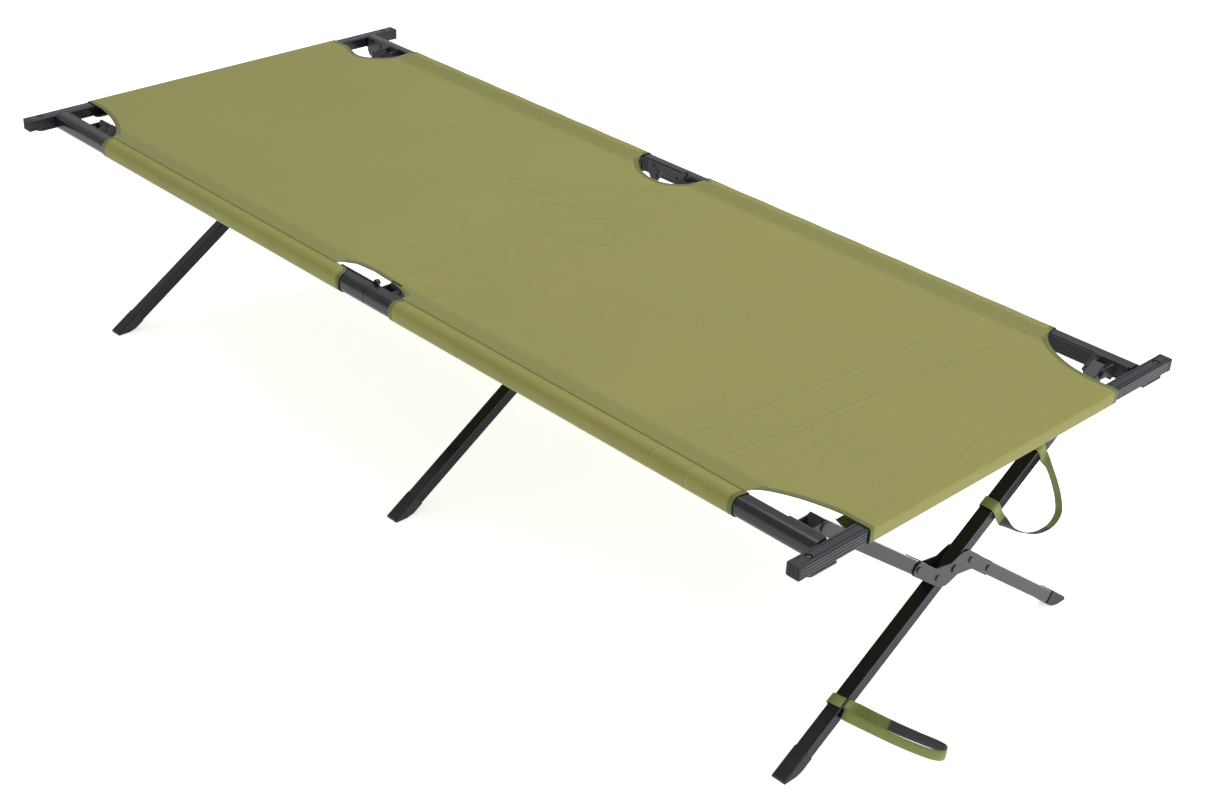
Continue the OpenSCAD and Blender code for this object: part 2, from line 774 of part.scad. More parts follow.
module middle_head_plate_front() { at_origin() color(colour_plate) front() middle_head_plate(); }
module right_clevis_back() { at_origin() color(colour_plate) clevis(right_x, 0); }
module right_clevis_front() { at_origin() color(colour_plate) front() clevis(right_x, 0); }
module left_clevis_back() { at_origin() color(colour_plate) clevis(left_x, 0); }
module left_clevis_front() { at_origin() color(colour_plate) front() clevis(left_x, 0); }
module middle_clevis_back() { at_origin() color(colour_plate) clevis(middle_x, middle_swing_shift); }
module middle_clevis_front() { at_origin() color(colour_plate) front() clevis(middle_x, middle_swing_shift); }
module right_straight_leg() { at_origin() color(colour_metal) straight_leg(right_x); }
module right_straight_foot() { at_origin() color(colour_plastic) straight_foot(right_x); }
module right_upper_half_leg() { at_origin() color(colour_grey) upper_half_leg(right_x); }
module right_lower_half_leg() { at_origin() color(colour_grey) lower_half_leg(right_x); }
module right_half_leg_foot() { at_origin() color(colour_plastic) half_leg_foot(right_x); }
module right_cross_plates() { at_origin() color(colour_grey) cross_plates(right_x); }
module right_cross_rivets() { at_origin() color(colour_plate) cross_rivets(right_x); }
module middle_straight_leg() { at_origin() color(colour_metal) straight_leg(middle_x); }
module middle_straight_foot() { at_origin() color(colour_plastic) straight_foot(middle_x); }
module middle_upper_half_leg() { at_origin() color(colour_grey) upper_half_leg(middle_x); }
module middle_lower_half_leg() { at_origin() color(colour_grey) lower_half_leg(middle_x); }
module middle_half_leg_foot() { at_origin() color(colour_plastic) half_leg_foot(middle_x); }
module middle_cross_plates() { at_origin() color(colour_grey) cross_plates(middle_x); }
module middle_cross_rivets() { at_origin() color(colour_plate) cross_rivets(middle_x); }
module left_straight_leg() { at_origin() color(colour_metal) straight_leg(left_x); }
module left_straight_foot() { at_origin() color(colour_plastic) straight_foot(left_x); }
module left_upper_half_leg() { at_origin() color(colour_grey) upper_half_leg(left_x); }
module left_lower_half_leg() { at_origin() color(colour_grey) lower_half_leg(left_x); }
module left_half_leg_foot() { at_origin() color(colour_plastic) half_leg_foot(left_x); }
module left_cross_plates() { at_origin() color(colour_grey) cross_plates(left_x); }
module left_cross_rivets() { at_origin() color(colour_plate) cross_rivets(left_x); }
module deck_right() { at_origin() color(colour_fabric) deck(1); }
module deck_left() { at_origin() color(colour_fabric) left() deck(-1); }
module sleeve_back_right() { at_origin() color(colour_fabric) sleeve(middle_bare_right); }
module sleeve_back_left() { at_origin() color(colour_fabric) left() sleeve(middle_bare_left); }
module sleeve_front_right() { at_origin() color(colour_fabric) front() sleeve(middle_bare_right); }
module sleeve_front_left() { at_origin() color(colour_fabric) left() front() sleeve(middle_bare_left); }
module strap_lower() { at_origin() color(colour_strap) lower_strap(); }
module strap_upper() { at_origin() color(colour_strap) upper_strap(); }

rail_back_right();
rail_back_left();
rail_front_right();
rail_front_left();
end_bracket_back_right();
end_bracket_back_left();
end_bracket_front_right();
end_bracket_front_left();
end_bar_right();
end_bar_left();
end_plugs_right();
end_plugs_left();
hinge_plate_back_left();
hinge_plate_front_left();
right_head_plate_back();
right_head_plate_front();
left_head_plate_back();
left_head_plate_front();
middle_head_plate_back();
middle_head_plate_front();
right_clevis_back();
right_clevis_front();
left_clevis_back();
left_clevis_front();
middle_clevis_back();
middle_clevis_front();
right_straight_leg();
right_straight_foot();
right_upper_half_leg();
right_lower_half_leg();
right_half_leg_foot();
right_cross_plates();
right_cross_rivets();
middle_straight_leg();
middle_straight_foot();
middle_upper_half_leg();
middle_lower_half_leg();
middle_half_leg_foot();
middle_cross_plates();
middle_cross_rivets();
left_straight_leg();
left_straight_foot();
left_upper_half_leg();
left_lower_half_leg();
left_half_leg_foot();
left_cross_plates();
left_cross_rivets();
deck_right();
deck_left();
sleeve_back_right();
sleeve_back_left();
sleeve_front_right();
sleeve_front_left();
strap_lower();
strap_upper();
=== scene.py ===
import math
import random
import bmesh
import bpy
from mathutils import Matrix, Vector


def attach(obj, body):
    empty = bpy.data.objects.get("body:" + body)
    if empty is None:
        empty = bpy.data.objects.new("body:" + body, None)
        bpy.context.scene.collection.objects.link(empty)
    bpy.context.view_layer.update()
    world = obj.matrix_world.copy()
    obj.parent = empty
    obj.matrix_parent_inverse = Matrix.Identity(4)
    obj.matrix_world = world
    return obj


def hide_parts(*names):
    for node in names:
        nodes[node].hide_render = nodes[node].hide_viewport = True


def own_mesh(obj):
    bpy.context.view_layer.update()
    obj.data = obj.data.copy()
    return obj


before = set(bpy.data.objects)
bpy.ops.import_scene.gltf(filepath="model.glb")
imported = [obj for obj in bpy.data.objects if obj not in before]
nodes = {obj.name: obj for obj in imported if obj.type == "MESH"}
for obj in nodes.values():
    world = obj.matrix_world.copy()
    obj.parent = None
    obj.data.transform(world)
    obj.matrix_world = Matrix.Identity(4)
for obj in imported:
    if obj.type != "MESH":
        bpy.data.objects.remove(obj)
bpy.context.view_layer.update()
print("frame loaded")

originShift = -0.05232  # the rail joint's place along the bed
railFace = 0.351  # inner face of the side rails
railWidth = 0.026
railTop = 0.435
railBottom = 0.404
barX = 0.9385  # middle of the end bars, from the rail joint
bodyOf = {"back": ["back_rail_left_body", "back_rail_right_body"],
          "front": ["front_rail_left_body", "front_rail_right_body"]}


# camera: stands at the strap end, in front and above
def makeCamera():
    camData = bpy.data.cameras.new("viewCamera")
    cam = bpy.data.objects.new("viewCamera", camData)
    bpy.context.scene.collection.objects.link(cam)
    bpy.context.scene.camera = cam
    cam.location = (2.1594 + originShift, -2.0082, 1.785)
    cam.rotation_euler = (math.radians(60.142), math.radians(-2.486), math.radians(46.098))
    camData.lens = 57.08
    camData.sensor_width = 36
    camData.clip_start = 0.05
    camData.clip_end = 60
    return cam


makeCamera()
print("camera placed")


def newMaterial(name):
    mat = bpy.data.materials.new(name)
    mat.use_nodes = True
    tree = mat.node_tree
    return mat, tree, tree.nodes["Principled BSDF"]


def addNode(tree, kind, **values):
    n = tree.nodes.new(kind)
    for key, value in values.items():
        setattr(n, key, value)
    return n


def wire(tree, a, b):
    tree.links.new(a, b)


def mathNode(tree, operation, a, b=None, clamp=False):
    n = addNode(tree, "ShaderNodeMath", operation=operation, use_clamp=clamp)
    for i, value in enumerate([a, b]):
        if value is None:
            continue
        if isinstance(value, (int, float)):
            n.inputs[i].default_value = value
        else:
            wire(tree, value, n.inputs[i])
    return n.outputs[0]


def mixColour(tree, fac, a, b, mode="MIX"):
    n = addNode(tree, "ShaderNodeMix", data_type="RGBA", blend_type=mode)
    for i, value in ((0, fac), (6, a), (7, b)):
        if isinstance(value, (int, float)):
            n.inputs[i].default_value = value
        elif isinstance(value, tuple):
            n.inputs[i].default_value = (*value, 1)
        else:
            wire(tree, value, n.inputs[i])
    return n.outputs[2]


def newGroup(name, inputs, outputs):
    group = bpy.data.node_groups.new(name, "ShaderNodeTree")
    for label, kind, default in inputs:
        s = group.interface.new_socket(name=label, in_out="INPUT", socket_type=kind)
        if default is not None:
            s.default_value = default
    for label, kind in outputs:
        group.interface.new_socket(name=label, in_out="OUTPUT", socket_type=kind)
    return group, group.nodes.new("NodeGroupInput"), group.nodes.new("NodeGroupOutput")


# cloth weave: fine crossing threads and slow colour drift
def weaveGroup():
    group, given, out = newGroup("clothWeave",
        [("Vector", "NodeSocketVector", None), ("Threads", "NodeSocketFloat", 900.0),
         ("Drift", "NodeSocketFloat", 5.0)],
        [("Height", "NodeSocketFloat"), ("Drift", "NodeSocketFloat"), ("Speckle", "NodeSocketFloat")])
    sep = addNode(group, "ShaderNodeSeparateXYZ")
    wire(group, given.outputs["Vector"], sep.inputs[0])
    warp = mathNode(group, "SINE", mathNode(group, "MULTIPLY", sep.outputs[0], given.outputs["Threads"]))
    weft = mathNode(group, "SINE", mathNode(group, "MULTIPLY", sep.outputs[1], given.outputs["Threads"]))
    height = mathNode(group, "MULTIPLY", warp, weft)
    drift = addNode(group, "ShaderNodeTexNoise")
    drift.inputs["Detail"].default_value = 3
    wire(group, given.outputs["Vector"], drift.inputs["Vector"])
    wire(group, given.outputs["Drift"], drift.inputs["Scale"])
    speckle = addNode(group, "ShaderNodeTexNoise")
    speckle.inputs["Scale"].default_value = 420
    speckle.inputs["Detail"].default_value = 2
    wire(group, given.outputs["Vector"], speckle.inputs["Vector"])
    wire(group, height, out.inputs["Height"])
    wire(group, drift.outputs[0], out.inputs["Drift"])
    wire(group, speckle.outputs[0], out.inputs["Speckle"])
    return group


# a sewn line across the bed: mask is 1 on the line x = At + Slope * y
def seamGroup():
    group, given, out = newGroup("seamLine",
        [("Vector", "NodeSocketVector", None), ("At", "NodeSocketFloat", 0.0), ("Slope", "NodeSocketFloat", 0.0),
         ("Width", "NodeSocketFloat", 0.001)],
        [("Mask", "NodeSocketFloat")])
    sep = addNode(group, "ShaderNodeSeparateXYZ")
    wire(group, given.outputs["Vector"], sep.inputs[0])
    line = mathNode(group, "MULTIPLY_ADD", sep.outputs[1], given.outputs["Slope"])
    wire(group, given.outputs["At"], line.node.inputs[2])
    away = mathNode(group, "ABSOLUTE", mathNode(group, "SUBTRACT", sep.outputs[0], line))
    mask = mathNode(group, "SUBTRACT", 1.0, mathNode(group, "DIVIDE", away, given.outputs["Width"]), clamp=True)
    wire(group, mask, out.inputs["Mask"])
    return group


# paint wear: pale rubbed spots and a fine orange-peel
def wearGroup():
    group, given, out = newGroup("paintWear",
        [("Vector", "NodeSocketVector", None), ("Amount", "NodeSocketFloat", 0.5)],
        [("Mask", "NodeSocketFloat"), ("Peel", "NodeSocketFloat"), ("Smear", "NodeSocketFloat")])
    spots = addNode(group, "ShaderNodeTexNoise")
    spots.inputs["Scale"].default_value = 60
    spots.inputs["Detail"].default_value = 6
    wire(group, given.outputs["Vector"], spots.inputs["Vector"])
    mask = mathNode(group, "MULTIPLY", mathNode(group, "SUBTRACT", spots.outputs[0], 0.6), 6.0, clamp=True)
    mask = mathNode(group, "MULTIPLY", mask, given.outputs["Amount"])
    peel = addNode(group, "ShaderNodeTexNoise")
    peel.inputs["Scale"].default_value = 900
    wire(group, given.outputs["Vector"], peel.inputs["Vector"])
    smear = addNode(group, "ShaderNodeTexNoise")
    smear.inputs["Scale"].default_value = 9
    smear.inputs["Detail"].default_value = 5
    wire(group, given.outputs["Vector"], smear.inputs["Vector"])
    wire(group, mask, out.inputs["Mask"])
    wire(group, peel.outputs[0], out.inputs["Peel"])
    wire(group, smear.outputs[0], out.inputs["Smear"])
    return group


weave = weaveGroup()
seam = seamGroup()
wear = wearGroup()


def useGroup(tree, group, **values):
    n = addNode(tree, "ShaderNodeGroup", node_tree=group)
    for key, value in values.items():
        n.inputs[key].default_value = value
    return n


def bumpInto(tree, bsdf, height, distance, strength=1.0):
    bump = addNode(tree, "ShaderNodeBump")
    bump.inputs["Distance"].default_value = distance
    bump.inputs["Strength"].default_value = strength
    wire(tree, height, bump.inputs["Height"])
    wire(tree, bump.outputs[0], bsdf.inputs["Normal"])
    return bump


# railBandShade is a painted shade colour for the strip of cloth that slopes up to each rail
coverLook = {"colour": (0.205, 0.198, 0.042), "shade": (0.176, 0.171, 0.033), "tape": (0.095, 0.103, 0.022),
             "thread": (0.045, 0.052, 0.012), "pale": (0.33, 0.33, 0.13),
             "railBandShade": (0.125, 0.125, 0.026), "roughness": 0.58}
paintLook = {"colour": (0.0045, 0.0054, 0.0090), "worn": (0.022, 0.025, 0.033), "roughness": 0.24}
barLook = {"colour": (0.007, 0.009, 0.0135), "worn": (0.025, 0.029, 0.037), "roughness": 0.27}
greyLook = {"colour": (0.009, 0.010, 0.0135), "worn": (0.03, 0.033, 0.04), "roughness": 0.32}
steelLook = {"colour": (0.016, 0.018, 0.022), "worn": (0.09, 0.092, 0.1), "roughness": 0.4}
plasticLook = {"colour": (0.01, 0.01, 0.011), "worn": (0.022, 0.022, 0.024), "roughness": 0.55}
strapLook = {"colour": (0.21, 0.245, 0.05), "dark": (0.028, 0.029, 0.034), "roughness": 0.8}
# the sewn tape round the cut-outs: its width, its stitching's place and pitch, and the dark rim, in metres
tape = {"width": 0.0085, "stitchAt": 0.0066, "pitch": 1900.0, "rim": 0.0014}
# a sewn line is two rows of thread this far each side of its middle
seamRow = {"side": 0.0025, "width": 0.0008, "strength": 0.42, "depth": 0.7}
# sewn lines across the bed: (place at the middle, lean towards the back)
seamLines = [(-0.058, 0.054), (0.0855, -0.027), (0.661, 0.068), (0.7315, 0.081)]


def paint(name, look, amount):
    mat, tree, bsdf = newMaterial(name)
    coord = addNode(tree, "ShaderNodeTexCoord")
    worn = useGroup(tree, wear, Amount=amount)
    wire(tree, coord.outputs["Object"], worn.inputs["Vector"])
    colour = mixColour(tree, worn.outputs["Mask"], look["colour"], look["worn"])
    wire(tree, colour, bsdf.inputs["Base Color"])
    rough = mathNode(tree, "MULTIPLY_ADD", worn.outputs["Smear"], 0.16)
    rough.node.inputs[2].default_value = look["roughness"] - 0.08
    wire(tree, rough, bsdf.inputs["Roughness"])
    bsdf.inputs["Specular IOR Level"].default_value = 0.34
    bumpInto(tree, bsdf, worn.outputs["Peel"], 0.00008, 0.35)
    return mat


def cloth(name, look):
    mat, tree, bsdf = newMaterial(name)
    coord = addNode(tree, "ShaderNodeTexCoord")
    threads = useGroup(tree, weave, Threads=2600.0, Drift=4.0)
    wire(tree, coord.outputs["Object"], threads.inputs["Vector"])
    base = mixColour(tree, threads.outputs["Drift"], look["shade"], look["colour"])
    fleck = mathNode(tree, "SUBTRACT", threads.outputs["Speckle"], 0.42)
    fleck = mathNode(tree, "MULTIPLY", fleck, 0.5, clamp=True)
    base = mixColour(tree, fleck, base, look["thread"])
    height = mathNode(tree, "MULTIPLY", threads.outputs["Height"], 0.12)
    for at, slope in seamLines:
        for sign, tone in ((-1, "thread"), (1, "pale")):
            place = at + originShift + sign * seamRow["side"]
            line = useGroup(tree, seam, At=place, Slope=slope, Width=seamRow["width"])
            wire(tree, coord.outputs["Object"], line.inputs["Vector"])
            shown = mathNode(tree, "MULTIPLY", line.outputs["Mask"], seamRow["strength"])
            base = mixColour(tree, shown, base, look[tone])
            sunk = mathNode(tree, "MULTIPLY", line.outputs["Mask"], seamRow["depth"])
            height = mathNode(tree, "SUBTRACT", height, sunk)
    # painted shade: the railBand mask mixes the strip that slopes up to each rail toward a darker olive
    railShadeMask = addNode(tree, "ShaderNodeAttribute", attribute_name="railBand")
    base = mixColour(tree, mathNode(tree, "MULTIPLY", railShadeMask.outputs["Fac"], 0.6), base, look["railBandShade"])
    edge = addNode(tree, "ShaderNodeAttribute", attribute_name="edgeDistance").outputs["Fac"]
    band = mathNode(tree, "MULTIPLY", mathNode(tree, "SUBTRACT", tape["width"], edge), 2500.0, clamp=True)
    base = mixColour(tree, band, base, look["tape"])
    offStitch = mathNode(tree, "ABSOLUTE", mathNode(tree, "SUBTRACT", edge, tape["stitchAt"]))
    stitchBand = mathNode(tree, "SUBTRACT", 1.0, mathNode(tree, "MULTIPLY", offStitch, 1500.0), clamp=True)
    along = addNode(tree, "ShaderNodeAttribute", attribute_name="edgeAlong").outputs["Fac"]
    wave = mathNode(tree, "SINE", mathNode(tree, "MULTIPLY", along, tape["pitch"]))
    stitch = mathNode(tree, "MULTIPLY", stitchBand, mathNode(tree, "GREATER_THAN", wave, -0.2))
    rim = mathNode(tree, "MULTIPLY", mathNode(tree, "SUBTRACT", tape["rim"], edge), 1500.0, clamp=True)
    base = mixColour(tree, mathNode(tree, "MULTIPLY", rim, 0.75), base, look["thread"])
    base = mixColour(tree, mathNode(tree, "MULTIPLY", stitch, 0.7), base, look["thread"])
    height = mathNode(tree, "ADD", height, mathNode(tree, "MULTIPLY", band, 2.0))
    height = mathNode(tree, "ADD", height, stitch)
    wire(tree, base, bsdf.inputs["Base Color"])
    bsdf.inputs["Roughness"].default_value = look["roughness"]
    bsdf.inputs["Sheen Weight"].default_value = 0.09
    bsdf.inputs["Sheen Roughness"].default_value = 0.4
    bsdf.inputs["Specular IOR Level"].default_value = 0.32
    bumpInto(tree, bsdf, height, 0.0004, 0.6)
    return mat


def webbing(name, look):
    mat, tree, bsdf = newMaterial(name)
    coord = addNode(tree, "ShaderNodeTexCoord")
    along = addNode(tree, "ShaderNodeAttribute", attribute_name="strapAlong")
    across = addNode(tree, "ShaderNodeAttribute", attribute_name="strapAcross")
    dark = addNode(tree, "ShaderNodeAttribute", attribute_name="strapDark")
    rib = mathNode(tree, "SINE", mathNode(tree, "MULTIPLY", along.outputs["Fac"], 3600.0))
    cord = mathNode(tree, "SINE", mathNode(tree, "MULTIPLY", across.outputs["Fac"], 2900.0))
    height = mathNode(tree, "ADD", rib, mathNode(tree, "MULTIPLY", cord, 0.7))
    noise = addNode(tree, "ShaderNodeTexNoise")
    noise.inputs["Scale"].default_value = 70
    noise.inputs["Detail"].default_value = 4
    wire(tree, coord.outputs["Object"], noise.inputs["Vector"])
    olive = mixColour(tree, noise.outputs[0], look["colour"], tuple(c * 0.6 for c in look["colour"]))
    base = mixColour(tree, dark.outputs["Fac"], olive, look["dark"])
    wire(tree, base, bsdf.inputs["Base Color"])
    bsdf.inputs["Roughness"].default_value = look["roughness"]
    bsdf.inputs["Sheen Weight"].default_value = 0.2
    bumpInto(tree, bsdf, height, 0.00025, 0.8)
    return mat


materials = {"black": paint("blackPaint", paintLook, 0.4), "bar": paint("barPaint", barLook, 0.5),
             "grey": paint("greyPlate", greyLook, 0.5), "steel": paint("darkSteel", steelLook, 0.7),
             "plastic": paint("blackPlastic", plasticLook, 0.5), "cloth": cloth("oliveCloth", coverLook),
             "strap": webbing("oliveWebbing", strapLook)}


def finishFor(name):
    if "foot" in name or "plugs" in name:
        return "plastic"
    if name.startswith("end_bar_"):
        return "bar"
    if "cross_plates" in name:
        return "grey"
    if name.startswith("rail_") or "leg" in name:
        return "black"
    return "steel"


for name, obj in nodes.items():
    obj.data.materials.clear()
    obj.data.materials.append(materials[finishFor(name)])
print("materials made")


def link(name, bm, mat, smooth=True):
    mesh = bpy.data.meshes.new(name)
    bmesh.ops.recalc_face_normals(bm, faces=bm.faces)
    bm.to_mesh(mesh)
    bm.free()
    obj = bpy.data.objects.new(name, mesh)
    bpy.context.scene.collection.objects.link(obj)
    mesh.materials.append(mat)
    if smooth:
        for face in mesh.polygons:
            face.use_smooth = True
    return obj


def thicken(obj, thickness, offset=-1.0):
    solid = obj.modifiers.new("thickness", "SOLIDIFY")
    solid.thickness = thickness
    solid.offset = offset
    return obj


cover = {"sag": 0.002, "flat": 0.4336, "thick": 0.0009, "slope": 0.036}
# corner cut-outs: where they start, their length, depth and roundness, and how much shallower they end
corners = {("right", "front"): {"start": 0.788, "long": 0.155, "deep": 0.059, "round": 0.55, "back": 0.0},
           ("left", "front"): {"start": 0.765, "long": 0.172, "deep": 0.060, "round": 0.80, "back": 0.0},
           ("right", "back"): {"start": 0.780, "long": 0.160, "deep": 0.076, "round": 0.66, "back": 0.0},
           ("left", "back"): {"start": 0.790, "long": 0.070, "deep": 0.086, "round": 0.55, "back": 0.022}}
# middle cut-outs: their deepest place, how far they reach each way, and their depth
middles = {"front": {"deepest": -0.040, "left": 0.058, "right": 0.108, "deep": 0.027, "round": 0.60},
           "back": {"deepest": -0.020, "left": 0.093, "right": 0.060, "deep": 0.058, "round": 0.78}}


def smooth01(t):
    t = max(0.0, min(1.0, t))
    return t * t * (3 - 2 * t)


# how far in from the rail's inner face the cover's edge lies
def cutDepth(x, row):
    corner = corners[("right" if x > 0 else "left", row)]
    t = (abs(x) - corner["start"]) / corner["long"]
    if t > 0:
        t = min(1.0, t)
        shallower = corner["back"] * smooth01((abs(x) - 0.835) / 0.1)
        return corner["deep"] * (1 - (1 - t) ** 2) ** corner["round"] - shallower
    middle = middles[row]
    away = x - middle["deepest"]
    t = away / (middle["right"] if away > 0 else middle["left"])
    if abs(t) < 1:
        return middle["deep"] * (1 - abs(t) ** 2.2) ** middle["round"]
    return -0.003


# two patches of wrinkles, at the middle and near the front: each value's range
wrinklePatches = [
    {"count": 26, "x": (-0.14, 0.12), "y": (-0.05, 0.30), "turn": (0.5, 1.35),
     "long": (0.03, 0.075), "wide": (0.006, 0.012), "high": (-0.0024, 0.0026)},
    {"count": 14, "x": (-0.10, 0.10), "y": (-0.33, -0.22), "turn": (0.9, 1.6),
     "long": (0.02, 0.05), "wide": (0.005, 0.009), "high": (-0.0013, 0.0015)}]
rng = random.Random(7)
wrinkles = []
for patch in wrinklePatches:
    for i in range(patch["count"]):
        wrinkles.append({key: rng.uniform(*patch[key]) for key in ("x", "y", "turn", "long", "wide", "high")})


def creaseHeight(x, y):
    total = 0.0
    for w in wrinkles:
        dx, dy = x - w["x"], y - w["y"]
        if abs(dx) > 0.25 or abs(dy) > 0.25:
            continue
        a = dx * math.cos(w["turn"]) + dy * math.sin(w["turn"])
        b = -dx * math.sin(w["turn"]) + dy * math.cos(w["turn"])
        total += w["high"] * math.exp(-(a / w["long"]) ** 2 - (b / w["wide"]) ** 2)
    return total


# the strip that climbs to each rail, with a soft crease along its inner edge
def railBand(y):
    t = (abs(y) - (railFace - cover["slope"])) / cover["slope"]
    return max(0.0, min(1.0, t)) if t > 0.12 else 0.12 * smooth01((t + 0.12) / 0.24) ** 1.4


def deckHeight(x, y):
    side = abs(y)
    low = cover["flat"] - cover["sag"] * (1 - (side / railFace) ** 2) * smooth01((0.92 - abs(x)) / 0.12)
    up = railBand(y)
    top = railTop + 0.0019
    flatness = 1 - smooth01((abs(x) - 0.82) / 0.08)
    return low + (top - cover["flat"]) * up * flatness + creaseHeight(x, y)


# the end pocket round the bar: half its width, its roundness, its heights, and the flap under the cloth
hem = {"half": 0.0132, "round": 0.004, "top": 0.4342, "low": 0.4102, "flap": [(0.018, 0.006), (0.030, 0.0115)]}


# places along the half bed: flat cloth, then round the end bar
def alongBed():
    steps = [0.0]
    x = 0.0
    while x < 0.905:
        fine = 0.003 if (x < 0.120 or 0.755 < x < 0.83) else 0.008
        x += fine
        steps.append(x)
    path = [(s, None) for s in steps]
    half, r, top, low = hem["half"], hem["round"], hem["top"], hem["low"]
    path += [(barX - half + 0.002, top), (barX, top + 0.0001), (barX + half - r, top)]
    for i in range(1, 6):
        a = math.pi / 2 * i / 5
        path.append((barX + half - r + r * math.sin(a), top - r + r * math.cos(a)))
    path.append((barX + half, (top + low) / 2))
    for i in range(0, 6):
        a = math.pi / 2 * i / 5
        path.append((barX + half - r + r * math.cos(a), low + r - r * math.sin(a)))
    path += [(barX, low), (barX - half, low)]
    path += [(barX - half - inward, low + rise) for inward, rise in hem["flap"]]
    return path


def makeDeck(side):
    path = alongBed()
    cols, rows = len(path), 181
    bm = bmesh.new()
    bmesh.ops.create_grid(bm, x_segments=cols - 1, y_segments=rows - 1, size=0.5)
    away = bm.verts.layers.float.new("edgeDistance")
    along = bm.verts.layers.float.new("edgeAlong")
    band = bm.verts.layers.float.new("railBand")
    for v in bm.verts:
        i = round((v.co.x + 0.5) * (cols - 1))
        t = v.co.y * 2
        u = math.copysign(abs(t) ** 0.86, t)
        px, pz = path[i]
        row = "back" if u > 0 else "front"
        depth = cutDepth(side * min(px, 0.905), row)
        reach = railFace - depth
        y = u * reach
        z = deckHeight(side * px, y) if pz is None else pz
        if pz is None and px > 0.86:
            z += (hem["top"] - z) * smooth01((px - 0.86) / 0.045)
        slope = 0.0
        if pz is None:
            slope = (cutDepth(side * (px + 0.001), row) - cutDepth(side * (px - 0.001), row)) / 0.002
        v[away] = (reach - abs(y)) / math.sqrt(1 + min(slope * slope, 9)) if depth > 0 else 1.0
        v[along] = px + abs(y)
        # railBand attribute: the mask for the painted shade on the strip that slopes up to each rail
        v[band] = min(1.0, railBand(y) * 5) * smooth01((0.90 - px) / 0.05) if pz is None else 0.0
        v.co = (side * px + originShift, y, z)
    obj = link("coverDeck" + ("Right" if side > 0 else "Left"), bm, materials["cloth"])
    return thicken(obj, cover["thick"], 0.0)


def sleeveProfile():
    g = 0.0012
    w, h, ro, rb, rt = railWidth + 2 * g, 0.031 + 2 * g, 0.012 + g, 0.006 + g, 0.0026 + g
    pts = []

    def arc(cy, cz, r, a0, a1, n):
        for k in range(n + 1):
            a = math.radians(a0 + (a1 - a0) * k / n)
            pts.append((cy + r * math.cos(a), cz + r * math.sin(a)))
    y0, z0 = railFace - g, railBottom - g
    pts.append((y0, z0 + h * 0.55))
    arc(y0 + rb, z0 + rb, rb, 180, 270, 6)
    arc(y0 + w - ro, z0 + ro, ro, 270, 360, 10)
    arc(y0 + w - ro, z0 + h - ro, ro, 0, 90, 10)
    arc(y0 + rt, z0 + h - rt, rt, 90, 180, 5)
    pts.append((y0, z0 + h * 0.8))
    return pts


# where each sleeve starts on the outside, where it starts beside the plates, and where it ends
sleeveEnds = {("right", "front"): (0.066, 0.080, 0.792), ("left", "front"): (0.060, 0.098, 0.764),
              ("right", "back"): (0.037, 0.080, 0.780), ("left", "back"): (0.112, 0.114, 0.790)}


def makeSleeve(side, across):
    profile = sleeveProfile()
    start, startInner, end = sleeveEnds[("right" if side > 0 else "left", "back" if across > 0 else "front")]
    cols, rows = 150, len(profile)
    bm = bmesh.new()
    bmesh.ops.create_grid(bm, x_segments=cols - 1, y_segments=rows - 1, size=0.5)
    away = bm.verts.layers.float.new("edgeDistance")
    along = bm.verts.layers.float.new("edgeAlong")
    for v in bm.verts:
        i = round((v.co.x + 0.5) * (cols - 1))
        j = round((v.co.y + 0.5) * (rows - 1))
        py, pz = profile[j]
        # the cut-out's edge runs on round the rail, a little further out at the side
        outward = smooth01((py - railFace) / railWidth)
        inner = smooth01((railFace + 0.004 - py) / 0.004)
        x0 = start + (startInner - start) * inner
        x1 = end - 0.004 * outward
        t = i / (cols - 1)
        px = x0 + (x1 - x0) * t
        pucker = 0.0005 * math.sin(px * 61 + across) * math.sin(pz * 170)
        v[away] = min(px - x0, x1 - px)
        v[along] = py + pz
        v.co = (side * px + originShift, across * (py + pucker), pz)
    name = "coverSleeve" + ("Back" if across > 0 else "Front") + ("Right" if side > 0 else "Left")
    obj = link(name, bm, materials["cloth"])
    return thicken(obj, cover["thick"], 0.0)


def facesOut(obj, centreY, centreZ):
    mesh = obj.data
    total = 0.0
    for p in mesh.polygons:
        total += p.normal.dot(Vector((0, p.center.y - centreY, p.center.z - centreZ))) * p.area
    if total < 0:
        mesh.flip_normals()


for side in (1, -1):
    deck = makeDeck(side)
    if sum(p.normal.z * p.area for p in deck.data.polygons if p.center.z > 0.43) < 0:
        deck.data.flip_normals()
    index = 1 if side > 0 else 0
    word = "right" if side > 0 else "left"
    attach(deck, bodyOf["back"][index])
    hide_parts("deck_" + word)
    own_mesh(deck)
    for across, row in ((1, "back"), (-1, "front")):
        sleeve = makeSleeve(side, across)
        facesOut(sleeve, across * (railFace + railWidth / 2), (railTop + railBottom) / 2)
        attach(sleeve, bodyOf[row][index])
        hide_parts(f"sleeve_{row}_{word}")
print("cover made")


# a strap is a loop of points; its width lies along one direction
def smoothLoop(points, count):
    out = []
    n = len(points)
    for k in range(count):
        t = k / count * n
        i = int(t)
        f = t - i
        p = [Vector(points[(i + d) % n]) for d in (-1, 0, 1, 2)]
        out.append(0.5 * ((2 * p[1]) + (p[2] - p[0]) * f + (2 * p[0] - 5 * p[1] + 4 * p[2] - p[3]) * f * f
                          + (3 * p[1] - p[0] - 3 * p[2] + p[3]) * f ** 3))
    return out


